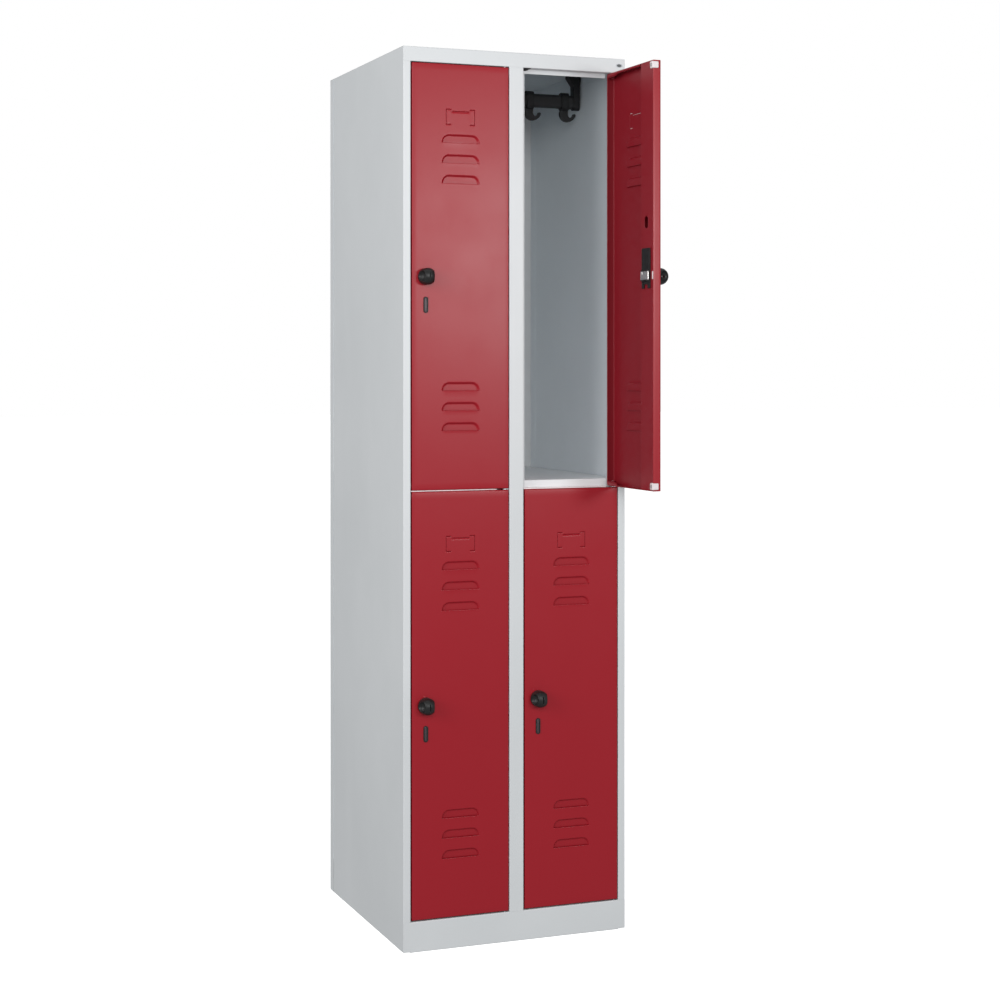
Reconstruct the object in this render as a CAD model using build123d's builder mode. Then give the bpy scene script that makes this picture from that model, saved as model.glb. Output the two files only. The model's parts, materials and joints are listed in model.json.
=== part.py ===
from build123d import *
import math
import os

# Two-column, two-tier steel school locker, one door per compartment.
# Frame: +X to the right, +Y from the front to the back, +Z up.
# Origin: centre of the footprint on the floor. Millimetres, real size.
# Rest state: three doors closed, the upper right door standing open.

# ------------------------------------------------------------------ cabinet
WIDTH = 485.0
DEPTH = 500.0
HEIGHT = 1800.0
SHEET = 0.8                # steel sheet
HALF = SHEET / 2
BEND = 1.2                 # centre-line bend radius of the folds
FIT = 0.02                 # clearance between touching pieces
OVERLAP = 0.01             # bite of one solid into the next

STILE = 15.5               # front face width of each side stile
POST = 31.0                # front face width of the centre post
RETURN = 20.0              # depth of the frame's fold behind the front
LIP = 10.0                 # door stop lip on each lock side
FOOT_GAP = 2.0             # side and back panels end this far above the floor
PLINTH = 60.5              # height of the plinth board
RAIL = 29.5                # height of the top rail
FLOOR_TOP = 76.0           # top of the compartment floor
SHELF_TOP = 932.0          # top of the middle shelf
SEAM = 24.0                # back panel's side flange

XL, XR = -WIDTH / 2, WIDTH / 2
YF, YB = -DEPTH / 2, DEPTH / 2
OPEN_L = XL + STILE        # left edge of the left opening
OPEN_R = XR - STILE        # right edge of the right opening
COLUMN = POST / 2 - OPEN_L  # pitch of the two columns
LIP_Y = YF + RETURN        # front of the stop lips
TOP_UNDER = HEIGHT - SHEET
RAIL_Z = HEIGHT - RAIL     # underside of the top rail
PANEL_H = TOP_UNDER - FOOT_GAP - FIT

FRONT_START = OPEN_L + 0.1  # left end of the folded rail and plinth board
FRONT_LENGTH = OPEN_R - OPEN_L - 0.2
END_PLATE = 16.0           # width of the rail and plinth ends over the stiles
POST_PATCH = 3.0           # height of the flush patch where the post meets them
CORNER_R = 0.75            # rounding of the outer front corners
FRAME_HALF = 240.8         # half width of the floor panel and the base frame

# -------------------------------------------------------------------- doors
HINGE_GAP = 1.5            # clearance at the hinge side
LOCK_GAP = 2.0             # clearance at the lock side
DOOR_W = POST / -2 - OPEN_L - HINGE_GAP - LOCK_GAP
DOOR_H = 851.3
DOOR_T = 17.3
HALF_H = DOOR_H / 2
INNER = DOOR_T - SHEET     # depth of the hollow's back, from the front face
TIER_SPLIT = 916.0         # height midway between the lower and upper doors
TIER_GAP = 3.0             # gap between them
DOOR_RISE = (DOOR_H + TIER_GAP) / 2
DOOR_MID_UPPER = TIER_SPLIT + DOOR_RISE
DOOR_MID_LOWER = TIER_SPLIT - DOOR_RISE
SWING_OPEN = 91.0          # the upper right door's opening at rest, degrees

PIN_IN = 6.8               # hinge axis, in from the door's hinge edge
PIN_BACK = 5.6             # hinge axis, behind the door's front face
PIN_R = 2.5
HINGE_EDGES = (-POST / 2, OPEN_R)  # right edges of the two openings
HINGE_POINTS = [(edge - HINGE_GAP - PIN_IN, YF + PIN_BACK) for edge in HINGE_EDGES]

STIFF_W = 54.0             # width of the lock-side stiffener
KNOB_U = 29.5              # knob axis from the free edge
SPINDLE_R = 5.0
CRANK = 5.0                # crank pin beside and above the knob axis
CRANK_BACK = 21.0          # back of the lock cap and the crank disc
BOLT_V = 1.05              # middle of the bolt, above the knob axis
HASP_V = -56.5             # padlock hasp, relative to the knob axis
BUMPER_H = 15.0
BUMPER_V = HALF_H - 9.5    # middle of each bumper from the middle of the door

# ----------------------------------------------------------- bars and hooks
CEILINGS = (TOP_UNDER, SHELF_TOP - SHEET)  # upper and lower tier
WALLS = (XL, 0.0)          # wall line at the left of each column
BAR_Y = -25.0              # coat bar, ahead of the middle of the depth
BAR_DROP = 60.8            # bar centre below the compartment ceiling
BAR_TALL = 30.0
BAR_DEEP = 15.0
BAR_WALL = 1.2
BAR_INSET = 9.0            # bar's ends from the wall lines
BRACKET_HALF = 10.0        # half the bracket's depth, and its end radius

HOOK_FIRST = 39.5          # first hook from the column's left wall line
HOOK_STEP = 82.0
HOOK_W = 16.5
# Hook outline (x from the hook's centre, z from the bar's centre)
HOOK_NECK = ((8.25, -24), (8.25, -16), (-8.25, -16), (-10, -22))
HOOK_OUTER = ((-10, -22), (-9, -33), (-2, -41), (7, -43.4), (18, -40), (26.6, -29))
HOOK_TIP = ((26.6, -29), (24.9, -25.4), (21.0, -26.6))
HOOK_INNER = ((21.0, -26.6), (17, -32.2), (12, -33.2), (8.8, -29.5), (8.25, -24))

os.makedirs("parts", exist_ok=True)


def save(builder, name):
    builder.part.label = name
    export_step(builder.part, "parts/" + name + ".step")


def folded_sheet(name, plane, path, length):
    """A sheet folded along a centre-line path and extruded off the plane."""
    with BuildPart() as sheet:
        with BuildSketch(plane):
            with BuildLine():
                FilletPolyline(*path, radius=BEND)
            trace(line_width=SHEET)
        extrude(amount=length)
    save(sheet, name)


def outer_front_corners(builder):
    """Upright front edges at the cabinet's left and right sides."""
    edges = builder.edges().filter_by(Axis.Z)
    front = edges.filter_by_position(Axis.Y, YF - 0.01, YF + 0.01)
    return front.filter_by(lambda edge: abs(edge.center().X) > XR - 0.1)


# ------------------------------------------------------------------ carcass
def side_panel(name, side, front_fold):
    """Outer side, front stile and return in one sheet; side is -1 left, +1 right.

    The back edge is joggled inwards under the back panel's flange.
    """
    wall = side * (XR - HALF)
    joggled = side * (XR - HALF - SHEET - 0.05)
    cut = 30.0
    with BuildPart() as panel:
        with BuildSketch(Plane.XY.offset(FOOT_GAP)):
            with BuildLine():
                FilletPolyline(
                    *front_fold, (side * (OPEN_R + HALF), YF + HALF), (wall, YF + HALF),
                    (wall, YB - SEAM - 4), (joggled, YB - SEAM), (joggled, YB - 2),
                    radius=BEND)
            trace(line_width=SHEET)
        extrude(amount=PANEL_H)
        # the stile stops between the plinth and the rail, which run full width
        for low, high in ((0, PLINTH + FIT), (RAIL_Z - FIT, HEIGHT)):
            with BuildSketch(Plane.XY.offset(low)):
                with Locations((side * (XR - SHEET - FIT - cut / 2), LIP_Y - 10)):
                    Rectangle(cut, cut)
                with Locations((side * XR, YF)):
                    Rectangle(4, 2 * (SHEET + FIT))
            extrude(amount=high - low, mode=Mode.SUBTRACT)
    save(panel, name)


def top_panel():
    """Roof sheet, front rail, door stop strips and downward flanges."""
    stop_from, stop_to = 18.0, 191.5    # door stop strip, from the opening's left edge
    stop_low, stop_high = -9.0, SHEET   # its height range about the rail's underside
    flange = 25.0
    flange_inset = 1.3                  # flange centre from the outside of the cabinet
    with BuildPart() as top:
        with BuildSketch(Plane.XY.offset(TOP_UNDER)):
            Rectangle(WIDTH, DEPTH)
        extrude(amount=SHEET)
        # rail with its underside return
        with BuildSketch(Plane.YZ.offset(FRONT_START)):
            with BuildLine():
                FilletPolyline(
                    (YF + 12, HEIGHT - HALF), (YF + HALF, HEIGHT - HALF),
                    (YF + HALF, RAIL_Z + HALF), (LIP_Y - 0.6, RAIL_Z + HALF), radius=BEND)
            trace(line_width=SHEET)
        extrude(amount=FRONT_LENGTH)
        # ends over the stiles, and the flush patch where the post meets the rail
        end_x = XR - END_PLATE / 2
        with BuildSketch(Plane.XZ.offset(-YF)):
            with Locations((-end_x, RAIL_Z + RAIL / 2), (end_x, RAIL_Z + RAIL / 2)):
                Rectangle(END_PLATE, RAIL)
            with Locations((0, RAIL_Z + POST_PATCH / 2)):
                Rectangle(POST, POST_PATCH)
        extrude(amount=-SHEET)
        fillet(outer_front_corners(top), CORNER_R)
        # door stop strips, each joined to the rail's return
        for left in (OPEN_L, OPEN_L + COLUMN):
            stop_x = left + (stop_from + stop_to) / 2
            with BuildSketch(Plane.XZ.offset(-LIP_Y)):
                with Locations((stop_x, RAIL_Z + (stop_low + stop_high) / 2)):
                    Rectangle(stop_to - stop_from, stop_high - stop_low)
            extrude(amount=-SHEET)
            with BuildSketch(Plane.XY.offset(RAIL_Z)):
                with Locations((stop_x, LIP_Y - 0.5)):
                    Rectangle(stop_to - stop_from, 2.6)
            extrude(amount=SHEET)
        # flanges down inside the sides and the back
        with BuildSketch(Plane.XY.offset(HEIGHT - flange)):
            with Locations((XL + flange_inset, -3), (XR - flange_inset, -3)):
                Rectangle(SHEET, 440)
            with Locations((0, YB - flange_inset)):
                Rectangle(WIDTH - 12, SHEET)
        extrude(amount=flange - HALF)
        # hinge pin holes in the underside of the rail
        for point in HINGE_POINTS:
            with BuildSketch(Plane.XY.offset(RAIL_Z - 1)):
                with Locations(point):
                    Circle(PIN_R + FIT)
            extrude(amount=3, mode=Mode.SUBTRACT)
    save(top, "top_panel")


def plinth():
    """Front board on a base frame whose webs carry the compartment floor."""
    return_y = LIP_Y - 1.0
    frame_front, frame_back = -230.0, 248.4
    frame_y = (frame_front + frame_back) / 2
    window_w, window_d = 195.4, 430.0
    window_x = 117.7
    web_x = FRAME_HALF - HALF
    with BuildPart() as base:
        # board with top and bottom returns
        with BuildSketch(Plane.YZ.offset(FRONT_START)):
            with BuildLine():
                FilletPolyline(
                    (return_y, PLINTH - HALF), (YF + HALF, PLINTH - HALF),
                    (YF + HALF, HALF), (return_y, HALF), radius=BEND)
            trace(line_width=SHEET)
        extrude(amount=FRONT_LENGTH)
        # ends below the stiles, and the flush patch where the post meets the board
        end_x = XR - END_PLATE / 2
        end_z = (FOOT_GAP + PLINTH) / 2
        with BuildSketch(Plane.XZ.offset(-YF)):
            with Locations((-end_x, end_z), (end_x, end_z)):
                Rectangle(END_PLATE, PLINTH - FOOT_GAP)
            with Locations((0, PLINTH - POST_PATCH / 2)):
                Rectangle(POST, POST_PATCH)
        extrude(amount=-SHEET)
        fillet(outer_front_corners(base), CORNER_R)
        # flat base frame, joined to the board by a front strip
        with BuildSketch():
            with Locations((0, frame_y)):
                Rectangle(2 * FRAME_HALF, frame_back - frame_front)
            with Locations((0, -234)):
                Rectangle(FRONT_LENGTH, 12)
            with Locations((-window_x, frame_y), (window_x, frame_y)):
                Rectangle(window_w, window_d, mode=Mode.SUBTRACT)
        extrude(amount=SHEET)
        # upright webs at the sides, the middle and the back
        with BuildSketch():
            with Locations((-web_x, 9.8), (0, 9.8), (web_x, 9.8)):
                Rectangle(SHEET, 475)
            with Locations((0, 247.7)):
                Rectangle(2 * FRAME_HALF, SHEET)
        extrude(amount=FLOOR_TOP - SHEET - FIT)
        # hinge pin holes in the top return
        for point in HINGE_POINTS:
            with BuildSketch(Plane.XY.offset(PLINTH - 2)):
                with Locations(point):
                    Circle(PIN_R + FIT)
            extrude(amount=3, mode=Mode.SUBTRACT)
    save(base, "plinth")


def centre_partition():
    front, back = LIP_Y + 0.9, YB - 2.2
    with BuildPart() as partition:
        with BuildSketch(Plane.XY.offset(FLOOR_TOP + FIT)):
            with Locations((0, (front + back) / 2)):
                Rectangle(SHEET, back - front)
        extrude(amount=TOP_UNDER - FLOOR_TOP - 2 * FIT)
    save(partition, "centre_partition")


def carcass():
    side_panel("side_panel_left", -1,
               ((OPEN_L + LIP, LIP_Y + HALF), (OPEN_L - HALF, LIP_Y + HALF)))
    side_panel("side_panel_right", 1, ((OPEN_R + HALF, LIP_Y),))
    flange_y = YB - SEAM + 0.2
    folded_sheet("back_panel", Plane.XY.offset(FOOT_GAP), (
        (XL + HALF, flange_y), (XL + HALF, YB - HALF),
        (XR - HALF, YB - HALF), (XR - HALF, flange_y)), PANEL_H)
    top_panel()
    plinth()
    # centre post, with the stop lip of the right doors
    post_x = POST / 2 - HALF
    folded_sheet("centre_post", Plane.XY.offset(PLINTH + FIT), (
        (POST / 2 + LIP, LIP_Y + HALF), (post_x, LIP_Y + HALF), (post_x, YF + HALF),
        (-post_x, YF + HALF), (-post_x, LIP_Y + HALF), (HALF, LIP_Y + HALF)),
        RAIL_Z - PLINTH - 2 * FIT)
    centre_partition()
    # floor and middle shelves, each with a lip down at the front
    front, back = LIP_Y + 1.4, YB - 2.4
    folded_sheet("floor_panel", Plane.YZ.offset(-FRAME_HALF), (
        (front, PLINTH + 0.4), (front, FLOOR_TOP - HALF), (back, FLOOR_TOP - HALF)),
        2 * FRAME_HALF)
    shelf_w, shelf_lip = 240.3, 27.0
    middle_gap = 0.45      # shelf's edge from the middle of the partition
    for side, start in (("left", -middle_gap - shelf_w), ("right", middle_gap)):
        folded_sheet("mid_shelf_" + side, Plane.YZ.offset(start), (
            (front, SHELF_TOP - shelf_lip), (front, SHELF_TOP - HALF),
            (back, SHELF_TOP - HALF)), shelf_w)


def hinge_pins():
    """Headed pins in rail and plinth, and a tab with a double pin between the tiers."""
    reach = 10.5           # pin beyond the rail or plinth
    head_r, head_h = 3.8, 1.6
    tab, tab_d, tab_y = 1.6, 17.0, YF + 9.5
    double_pin = 23.0
    headed_pins = (        # base height, radius, length
        (RAIL_Z - reach, PIN_R, reach + SHEET),
        (RAIL_Z + SHEET, head_r, head_h),
        (PLINTH - SHEET - head_h, head_r, head_h),
        (PLINTH - SHEET, PIN_R, reach + SHEET),
    )
    with BuildPart() as pins:
        for edge, point in zip(HINGE_EDGES, HINGE_POINTS):
            for base_z, radius, length in headed_pins:
                with BuildSketch(Plane.XY.offset(base_z)):
                    with Locations(point):
                        Circle(radius)
                extrude(amount=length)
            tab_left = point[0] - 5
            with BuildSketch(Plane.XY.offset(TIER_SPLIT - tab / 2)):
                with Locations(((tab_left + edge) / 2, tab_y)):
                    RectangleRounded(edge - tab_left, tab_d, 2.5)
            extrude(amount=tab)
            with BuildSketch(Plane.XY.offset(TIER_SPLIT - double_pin / 2)):
                with Locations(point):
                    Circle(PIN_R)
            extrude(amount=double_pin)
    save(pins, "hinge_pins")


# ----------------------------------------------------------- bars and hooks
def coat_bars():
    with BuildPart() as bars:
        for ceiling in CEILINGS:
            for wall in WALLS:
                with BuildSketch(Plane.YZ.offset(wall + BAR_INSET)):
                    with Locations((BAR_Y, ceiling - BAR_DROP)):
                        SlotOverall(BAR_TALL, BAR_DEEP, rotation=90)
                        SlotOverall(BAR_TALL - 2 * BAR_WALL, BAR_DEEP - 2 * BAR_WALL,
                                    rotation=90, mode=Mode.SUBTRACT)
                extrude(amount=COLUMN - 2 * BAR_INSET)
    save(bars, "coat_bars")


def mirrored(span):
    """An x range measured from a column's left wall line, moved to its right end."""
    low, high = span
    return COLUMN - high, COLUMN - low


def rail_brackets():
    # x ranges of the arm, the head and the bar's socket, from the wall line
    left_bracket = ((4.6, 19.1), (2.9, 30.9), (8.9, 19.2))
    right_bracket = tuple(mirrored(span) for span in left_bracket)
    front_y, back_y = BAR_Y - BRACKET_HALF, BAR_Y + BRACKET_HALF
    with BuildPart() as brackets:
        for ceiling in CEILINGS:
            top = ceiling - FIT
            arm_end = ceiling - 68.7
            head_step, head_end = ceiling - 9, ceiling - 26
            for wall in WALLS:
                for arm, head, socket in (left_bracket, right_bracket):
                    arm_left, arm_right = wall + arm[0], wall + arm[1]
                    head_left, head_right = wall + head[0], wall + head[1]
                    # arm, rounded under the bar
                    with BuildSketch(Plane.YZ.offset(arm_left)):
                        with BuildLine():
                            Polyline((front_y, arm_end), (front_y, top),
                                     (back_y, top), (back_y, arm_end))
                            ThreePointArc((front_y, arm_end), (BAR_Y, arm_end - BRACKET_HALF),
                                          (back_y, arm_end))
                        make_face()
                    extrude(amount=arm_right - arm_left)
                    # head, flared along the bar
                    with BuildSketch(Plane.XZ.offset(-front_y)):
                        with BuildLine():
                            Polyline((head_left, top), (head_left, head_step),
                                     (arm_left, head_end), (arm_right, head_end),
                                     (head_right, head_step), (head_right, top), close=True)
                        make_face()
                    extrude(amount=-2 * BRACKET_HALF)
                    # socket for the bar's end, open towards the bar
                    with BuildSketch(Plane.YZ.offset(wall + socket[0])):
                        with Locations((BAR_Y, ceiling - BAR_DROP)):
                            SlotOverall(BAR_TALL + 0.1, BAR_DEEP + 0.1, rotation=90)
                    extrude(amount=socket[1] - socket[0], mode=Mode.SUBTRACT)
    save(brackets, "rail_brackets")


def moved(points, x, z):
    return [(x + point_x, z + point_z) for point_x, point_z in points]


def hook(name, centre_x, bar_z):
    """A collar around the bar with a curved hook below it, rising to the right."""
    blade = 7.0            # thickness of the curved part
    with BuildPart() as coat_hook:
        with BuildSketch(Plane.YZ.offset(centre_x - HOOK_W / 2)):
            with Locations((BAR_Y, bar_z)):
                SlotOverall(BAR_TALL + 10, BAR_DEEP + 8, rotation=90)
        extrude(amount=HOOK_W)
        with BuildSketch(Plane.XZ.offset(-(BAR_Y - blade / 2))):
            with BuildLine():
                Polyline(*moved(HOOK_NECK, centre_x, bar_z))
                Spline(*moved(HOOK_OUTER, centre_x, bar_z))
                ThreePointArc(*moved(HOOK_TIP, centre_x, bar_z))
                Spline(*moved(HOOK_INNER, centre_x, bar_z))
            make_face()
        extrude(amount=-blade)
        # passage for the bar
        with BuildSketch(Plane.YZ.offset(centre_x - HOOK_W / 2 - 0.25)):
            with Locations((BAR_Y, bar_z)):
                SlotOverall(BAR_TALL + 0.5, BAR_DEEP + 0.5, rotation=90)
        extrude(amount=HOOK_W + 0.5, mode=Mode.SUBTRACT)
    save(coat_hook, name)


def hooks():
    for tier, ceiling in zip(("upper", "lower"), CEILINGS):
        for side, wall in zip(("left", "right"), WALLS):
            for count, letter in enumerate("abc"):
                hook(f"hook_{tier}_{side}_{letter}",
                     wall + HOOK_FIRST + count * HOOK_STEP, ceiling - BAR_DROP)


def badge_plate():
    """Oval plate on the rail's right end."""
    with BuildPart() as badge:
        with BuildSketch(Plane.XZ.offset(-YF)):
            with Locations((XR - 13.5, HEIGHT - 14.0)):
                Ellipse(8.0, 4.2)
        extrude(amount=0.5)
    save(badge, "badge_plate")


# -------------------------------------------------------------------- doors
class Leaf:
    """Where a door stands.

    u runs from the free edge to the hinge edge, v up from the middle of the
    door, w out of the front face. swing is the opening in degrees.
    """

    def __init__(self, name, hinge_edge, mid_z, swing):
        self.name = name
        self.swing = swing
        self.wide = Vector(1, 0, 0).rotate(Axis.Z, swing)
        self.out = Vector(0, -1, 0).rotate(Axis.Z, swing)
        hinge = Vector(hinge_edge - HINGE_GAP - PIN_IN, YF + PIN_BACK, mid_z)
        self.corner = hinge - self.wide * (DOOR_W - PIN_IN) + self.out * PIN_BACK
        # front: local x, y are u, v; plan: local x is u, local y runs inwards
        self.front = Plane(origin=self.corner, x_dir=self.wide, z_dir=self.out)
        self.plan = Plane(origin=self.corner, x_dir=self.wide, z_dir=(0, 0, 1))
        self.wide_axis = Axis(tuple(self.corner), tuple(self.wide))
        self.out_axis = Axis(tuple(self.corner), tuple(self.out))

    def point(self, u, v=0.0, w=0.0):
        return self.corner + self.wide * u + Vector(0, 0, v) + self.out * w

    def edge_plane(self, u, v=0.0, w=0.0):
        """Plane across the width; local x runs outwards, local y down."""
        return Plane(origin=self.point(u, v, w), x_dir=self.out, z_dir=self.wide)


def door_skin(leaf):
    hinge_lip, end_lip = 12.0, 7.5
    louvre_u, louvre_w, louvre_h, louvre_deep = 104.0, 80.0, 16.7, 4.0
    pocket_r = 14.2
    louvre_rows = (268.5, 228.2, 187.3, -227.5, -267.5, -308.0)  # slit heights

    # hollow of the leaf, with the inside of the bends rounded
    with BuildPart() as hollow:
        with BuildSketch(leaf.front.offset(-SHEET)):
            with Locations((DOOR_W / 2, 0)):
                Rectangle(DOOR_W - 2 * SHEET, DOOR_H - 2 * SHEET)
        extrude(amount=-(INNER - SHEET))
        fillet(hollow.faces().sort_by(leaf.out_axis)[-1].edges(), BEND)

    with BuildPart() as skin:
        with BuildSketch(leaf.front):
            with Locations((DOOR_W / 2, 0)):
                Rectangle(DOOR_W, DOOR_H)
        extrude(amount=-DOOR_T)
        fillet(skin.faces().sort_by(leaf.out_axis)[-1].edges(), 2.0)
        add(hollow.part, mode=Mode.SUBTRACT)
        # open back inside the hinge lip and the end lips; the lock side is
        # closed by the stiffener
        with BuildSketch(leaf.front.offset(-INNER + OVERLAP)):
            with Locations(((STIFF_W + DOOR_W - hinge_lip) / 2, 0)):
                Rectangle(DOOR_W - hinge_lip - STIFF_W, DOOR_H - 2 * end_lip)
            with Locations(((SHEET + STIFF_W + 0.1) / 2, 0)):
                Rectangle(STIFF_W + 0.1 - SHEET, DOOR_H - 2 * SHEET)
        extrude(amount=-SHEET - 0.1, mode=Mode.SUBTRACT)
        # louvres pressed inwards, open along the straight lower edge
        with BuildSketch(leaf.front.offset(-SHEET + OVERLAP)):
            for row in louvre_rows:
                with Locations((louvre_u, row + (louvre_h + SHEET) / 2)):
                    blister = Rectangle(louvre_w + 2 * SHEET, louvre_h + SHEET)
                    fillet(blister.vertices().group_by(Axis.Y)[-1], pocket_r + SHEET)
        extrude(amount=-louvre_deep)
        with BuildSketch(leaf.front.offset(-louvre_deep)):
            for row in louvre_rows:
                with Locations((louvre_u, row)):
                    Rectangle(louvre_w + 2 * SHEET, 2.4)
        extrude(amount=-SHEET + OVERLAP)
        with BuildSketch(leaf.front):
            for row in louvre_rows:
                with Locations((louvre_u, row + louvre_h / 2)):
                    pocket = Rectangle(louvre_w, louvre_h)
                    fillet(pocket.vertices().group_by(Axis.Y)[-1], pocket_r)
        extrude(amount=-louvre_deep, mode=Mode.SUBTRACT)
        # spindle hole and padlock slot
        with BuildSketch(leaf.front):
            with Locations((KNOB_U, 0)):
                Circle(SPINDLE_R + 0.4)
            with Locations((KNOB_U, HASP_V)):
                SlotOverall(30.0, 7.6, rotation=90)
        extrude(amount=-3, mode=Mode.SUBTRACT)
        # bush holes through both ends
        with BuildSketch(leaf.plan.offset(-HALF_H - 1)):
            with Locations((DOOR_W - PIN_IN, PIN_BACK)):
                Circle(4.0)
        extrude(amount=DOOR_H + 2, mode=Mode.SUBTRACT)
    save(skin, "door_skin_" + leaf.name)


# Pad of the lock case that fills a window in the stiffener
LOCK_U = 27.0
PAD_V = 20.0
PAD_W, PAD_H, PAD_R = 26.0, 64.0, 2.0


def door_stiffener(leaf):
    """An angle closing the back of the lock side."""
    with BuildPart() as stiffener:
        with BuildSketch(leaf.plan.offset(-HALF_H + SHEET + 0.05)):
            with BuildLine():
                FilletPolyline((SHEET + 0.1, INNER + HALF), (STIFF_W - HALF, INNER + HALF),
                               (STIFF_W - HALF, SHEET + 1.3), radius=BEND)
            trace(line_width=SHEET)
        extrude(amount=DOOR_H - 2 * SHEET - 0.1)
        # window for the lock case, and an oval hole above it
        with BuildSketch(leaf.front.offset(-INNER + 1)):
            with Locations((LOCK_U, PAD_V)):
                RectangleRounded(PAD_W + 0.2, PAD_H + 0.2, PAD_R)
            with Locations((30, 107)):
                SlotOverall(24, 15, rotation=90)
        extrude(amount=-3, mode=Mode.SUBTRACT)
    save(stiffener, "door_stiffener_" + leaf.name)


def lock_case(leaf):
    cap_front = DOOR_T + 0.03
    with BuildPart() as case:
        # body between the door's front sheet and the stiffener
        with BuildSketch(leaf.front.offset(-SHEET - 0.1)):
            with Locations((30, -8)):
                RectangleRounded(40, 134, 3)
        extrude(amount=-(INNER - SHEET - 0.2))
        # pad through the stiffener
        with BuildSketch(leaf.front.offset(-INNER + 0.1)):
            with Locations((LOCK_U, PAD_V)):
                RectangleRounded(PAD_W, PAD_H, PAD_R)
        extrude(amount=-1.0)
        # cap on the back, with two small ears low at its sides
        with BuildSketch(leaf.front.offset(-cap_front)):
            with Locations((LOCK_U, 19.75)):
                RectangleRounded(32.4, 71.5, 3)
            with Locations((LOCK_U - 12.3, -19), (LOCK_U + 12.3, -19)):
                RectangleRounded(7, 11, 1)
        extrude(amount=-(CRANK_BACK - cap_front))
        # bolt guides above and below the bolt, then their overhanging lips
        with BuildSketch(leaf.front.offset(-CRANK_BACK + OVERLAP)):
            with Locations((LOCK_U, 11.2), (LOCK_U, -9.1)):
                Rectangle(26, 2.4)
        extrude(amount=-3.2)
        with BuildSketch(leaf.front.offset(-24.1)):
            with Locations((LOCK_U, 10.9), (LOCK_U, -8.8)):
                Rectangle(26, 3.0)
        extrude(amount=-0.9)
        # nose and bezel through the door, with the hasp's guide slot
        with BuildSketch(leaf.front.offset(-SHEET - 0.2)):
            with Locations((KNOB_U, HASP_V)):
                SlotOverall(29.8, 7.4, rotation=90)
        extrude(amount=SHEET + 0.25)
        with BuildSketch(leaf.front.offset(FIT)):
            with Locations((KNOB_U, HASP_V)):
                SlotOverall(32.5, 9.8, rotation=90)
        extrude(amount=1.3)
        with BuildSketch(leaf.front.offset(2)):
            with Locations((KNOB_U, HASP_V)):
                Rectangle(5.3, 28.3)
        extrude(amount=-17.0, mode=Mode.SUBTRACT)
        # spindle bore and the crank's recess
        with BuildSketch(leaf.front):
            with Locations((KNOB_U, 0)):
                Circle(SPINDLE_R + 0.05)
        extrude(amount=-30, mode=Mode.SUBTRACT)
        with BuildSketch(leaf.front.offset(-18.8)):
            with Locations((KNOB_U, 0)):
                Circle(9.2)
        extrude(amount=-2.3, mode=Mode.SUBTRACT)
    save(case, "lock_case_" + leaf.name)


def knob(leaf):
    """Ball-nosed grip, spindle, crank disc and the pin that moves the bolt."""
    grip_r = 16.8
    grip_base = 0.3        # gap between the door and the grip
    straight = 13.0        # where the grip's straight side meets the ball nose
    height = straight + grip_r
    eye_w = 17.5           # cross hole above the door
    disc_r, disc_front = 9.0, 19.0
    slant = grip_r * math.sin(math.pi / 4)
    with BuildPart() as turned:
        with BuildSketch(leaf.plan):
            with BuildLine():
                Polyline((KNOB_U, -height), (KNOB_U, CRANK_BACK),
                         (KNOB_U + disc_r, CRANK_BACK), (KNOB_U + disc_r, disc_front),
                         (KNOB_U + SPINDLE_R, disc_front), (KNOB_U + SPINDLE_R, -grip_base),
                         (KNOB_U + grip_r, -grip_base), (KNOB_U + grip_r, -straight))
                ThreePointArc((KNOB_U + grip_r, -straight),
                              (KNOB_U + slant, -straight - slant),
                              (KNOB_U, -height))
            make_face()
        revolve(axis=Axis(tuple(leaf.point(KNOB_U)), tuple(leaf.out)))
        # a finger hollow on each side, leaving a cross-drilled web
        for sign in (-1, 1):
            with Locations(Location(tuple(leaf.point(KNOB_U + sign * 17.4, w=eye_w)),
                                    (0, 0, leaf.swing + 90 - 90 * sign))):
                Sphere(12.0, mode=Mode.SUBTRACT)
        with BuildSketch(leaf.edge_plane(KNOB_U - 20, w=eye_w)):
            Circle(3.4)
        extrude(amount=40, mode=Mode.SUBTRACT)
        # upright groove in the nose
        with BuildSketch(leaf.front.offset(height - 4)):
            with Locations((KNOB_U, 0)):
                SlotOverall(14, 2.8, rotation=90)
        extrude(amount=6, mode=Mode.SUBTRACT)
        # crank pin
        with BuildSketch(leaf.front.offset(-CRANK_BACK + 0.1)):
            with Locations((KNOB_U + CRANK, CRANK)):
                Circle(1.5)
        extrude(amount=-2.9)
    save(turned, "knob_" + leaf.name)


def bolt(leaf):
    """Flat bolt, drawn back at rest, with a slot for the crank pin."""
    with BuildPart() as slider:
        with BuildSketch(leaf.front.offset(-CRANK_BACK - 0.1)):
            with Locations((26.7, BOLT_V)):
                Rectangle(32.4, 17.5)
            with Locations((KNOB_U + CRANK, CRANK + BOLT_V)):
                SlotOverall(6.2, 3.6, rotation=90, mode=Mode.SUBTRACT)
        extrude(amount=-2.8)
        # front corner of the end towards the free edge
        tip = slider.edges().filter_by(Axis.Z).group_by(leaf.wide_axis)[0]
        chamfer(tip.sort_by(leaf.out_axis)[-1], 1.6)
    save(slider, "bolt_" + leaf.name)


def hasp_blade(leaf):
    """Blade with its padlock hole, drawn back at rest."""
    with BuildPart() as blade:
        with BuildSketch(leaf.front.offset(0.6)):
            with Locations((KNOB_U, HASP_V)):
                Rectangle(5.0, 28.0)
        extrude(amount=-14.6)
        with BuildSketch(leaf.edge_plane(KNOB_U - 5, HASP_V, -6.4)):
            Circle(4.0)
        extrude(amount=10, mode=Mode.SUBTRACT)
        fillet(blade.faces().sort_by(leaf.out_axis)[-1].edges(), 0.8)
    save(blade, "hasp_blade_" + leaf.name)


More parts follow.
